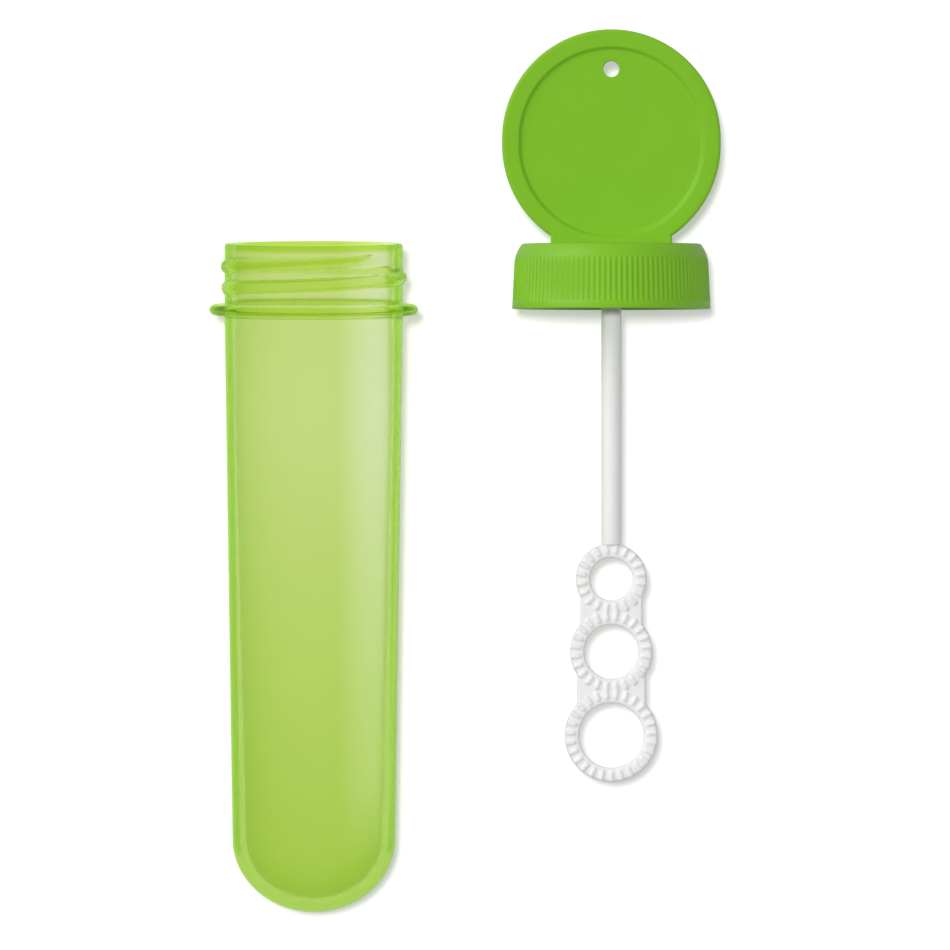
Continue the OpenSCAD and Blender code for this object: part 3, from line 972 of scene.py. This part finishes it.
class BUBBLE_OT_stage(bpy.types.Operator):
    """Set the floor, the light and the camera"""

    bl_idname = "bubble.stage"
    bl_label = "Set stage"

    def execute(self, context):
        stage = context.scene.bubble_stage
        self.floor(stage)
        self.sky(context, stage)
        drop = self.sun("drop light", towards=(-0.05, 0.06, 1.0), angle=5, strength=1.8)
        drop.visible_glossy = False
        drop.visible_transmission = False
        key = self.sun("key light", towards=(-0.75, 0.5, 0.5), angle=50, strength=1.45)
        kept_out = bpy.data.collections.new("kept out of the key light")
        key.light_linking.receiver_collection = kept_out
        for thing in context.scene.objects:
            if thing.name in ("floor", "tube_shell"):
                kept_out.objects.link(thing)
        for entry in kept_out.collection_objects:
            entry.light_linking.link_state = "EXCLUDE"
        self.camera(context, stage)
        context.scene.view_settings.view_transform = "Standard"
        return {"FINISHED"}

    def floor(self, stage):
        """White floor that glows plain white where it shows through the tube, with a brighter strip
        there: a painted highlight for the tube's right side.
        """
        select_only()
        bpy.ops.mesh.primitive_grid_add(x_subdivisions=8, y_subdivisions=8, size=40)
        floor = rename(bpy.context.object, "floor")
        material = bpy.data.materials.new("white floor")
        material.use_nodes = True
        tree = material.node_tree
        nodes, links = tree.nodes, tree.links
        principled = nodes["Principled BSDF"]
        principled.inputs["Base Color"].default_value = (*stage.floor_colour, 1)
        principled.inputs["Roughness"].default_value = 0.9
        principled.inputs["Specular IOR Level"].default_value = 0
        principled.inputs["Emission Color"].default_value = (1, 1, 1, 1)
        ray = nodes.new("ShaderNodeLightPath")
        seen = nodes.new("ShaderNodeMath")
        seen.operation = "MULTIPLY"
        seen.inputs[1].default_value = stage.floor_glow
        links.new(ray.outputs["Is Camera Ray"], seen.inputs[0])
        links.new(seen.outputs[0], principled.inputs["Emission Strength"])

        # Mask of the painted highlight strip: it rises towards +X, cuts off past x = -7.6 mm and
        # fades out towards the tube's round end
        highlight_spot = nodes.new("ShaderNodeSeparateXYZ")
        links.new(nodes.new("ShaderNodeTexCoord").outputs["Object"], highlight_spot.inputs[0])
        level = None
        for axis, plain, full in (("X", -19, -10.5), ("X", -7.6, -8.4), ("Y", -60, -48)):
            rise = ramp(tree, highlight_spot.outputs[axis], plain * MM, full * MM)
            if level:
                links.new(level, rise.inputs["To Max"])
            level = rise.outputs[0]
        # Glow that only rays through the tube see: plain white, and the painted highlight colour
        # inside the strip
        through = nodes.new("ShaderNodeEmission")
        links.new(blend(tree, level, (1, 1, 1), stage.painted_highlight_colour), through.inputs["Color"])
        mix = nodes.new("ShaderNodeMixShader")
        links.new(ray.outputs["Is Transmission Ray"], mix.inputs["Fac"])
        links.new(principled.outputs[0], mix.inputs[1])
        links.new(through.outputs[0], mix.inputs[2])
        links.new(mix.outputs[0], nodes["Material Output"].inputs["Surface"])
        floor.data.materials.append(material)

    def sky(self, context, stage):
        """Dim white sky, which is full white to the camera and through the tube."""
        world = bpy.data.worlds.new("studio")
        context.scene.world = world
        world.use_nodes = True
        nodes, links = world.node_tree.nodes, world.node_tree.links
        light = nodes["Background"]
        light.inputs["Color"].default_value = (1, 1, 1, 1)
        light.inputs["Strength"].default_value = stage.sky_strength
        shown = nodes.new("ShaderNodeBackground")
        shown.inputs["Color"].default_value = (1, 1, 1, 1)
        ray = nodes.new("ShaderNodeLightPath")
        white = nodes.new("ShaderNodeMath")
        white.operation = "MAXIMUM"
        links.new(ray.outputs["Is Camera Ray"], white.inputs[0])
        links.new(ray.outputs["Is Transmission Ray"], white.inputs[1])
        mix = nodes.new("ShaderNodeMixShader")
        links.new(white.outputs[0], mix.inputs["Fac"])
        links.new(light.outputs[0], mix.inputs[1])
        links.new(shown.outputs[0], mix.inputs[2])
        links.new(mix.outputs[0], nodes["World Output"].inputs["Surface"])

    def sun(self, name, towards, angle, strength):
        """Sun that stands in the direction towards; its angle, in degrees, softens shadows."""
        select_only()
        bpy.ops.object.light_add(type="SUN")
        lamp = rename(bpy.context.object, name)
        lamp.rotation_euler = Vector(towards).to_track_quat("Z", "Y").to_euler()
        lamp.data.angle = math.radians(angle)
        lamp.data.energy = strength
        return lamp

    def camera(self, context, stage):
        """Camera straight above the set."""
        sensor = 36
        select_only()
        middle = Vector((1.5, -0.61, 15.0)) * MM
        bpy.ops.object.camera_add(location=middle + Vector((0, 0, stage.camera_distance)))
        camera = rename(bpy.context.object, "camera")
        camera.data.sensor_width = sensor
        camera.data.lens = sensor * stage.camera_distance / stage.view_width
        camera.data.clip_end = 100
        context.scene.camera = camera


class BUBBLE_PT_panel(bpy.types.Panel):
    """Lists the steps that build the bubble wand set"""

    bl_idname = "BUBBLE_PT_panel"
    bl_label = "Bubble wand"
    bl_space_type = "VIEW_3D"
    bl_region_type = "UI"
    bl_category = "Bubble wand"

    def draw(self, context):
        scene = context.scene
        groups = (
            ("bubble.tube", scene.bubble_tube), ("bubble.cap", scene.bubble_cap),
            ("bubble.liner", None), ("bubble.wand", scene.bubble_wand),
            ("bubble.stage", scene.bubble_stage),
        )
        for step, settings in groups:
            box = self.layout.box()
            box.operator(step)
            if settings:
                for name in settings.__annotations__:
                    box.prop(settings, name)


SETTINGS = {
    "bubble_tube": BubbleTubeSettings,
    "bubble_cap": BubbleCapSettings,
    "bubble_wand": BubbleWandSettings,
    "bubble_stage": BubbleStageSettings,
}
CLASSES = (
    *SETTINGS.values(), BUBBLE_OT_tube, BUBBLE_OT_cap, BUBBLE_OT_liner, BUBBLE_OT_wand,
    BUBBLE_OT_stage, BUBBLE_PT_panel,
)


def register():
    for made in CLASSES:
        bpy.utils.register_class(made)
    for name, settings in SETTINGS.items():
        setattr(bpy.types.Scene, name, bpy.props.PointerProperty(type=settings))


def unregister():
    for name in SETTINGS:
        delattr(bpy.types.Scene, name)
    for made in reversed(CLASSES):
        bpy.utils.unregister_class(made)


def main():
    register()
    bpy.ops.bubble.tube()
    bpy.ops.bubble.cap()
    bpy.ops.bubble.liner()
    bpy.ops.bubble.wand()
    bpy.ops.bubble.stage()


if __name__ == "__main__":
    main()
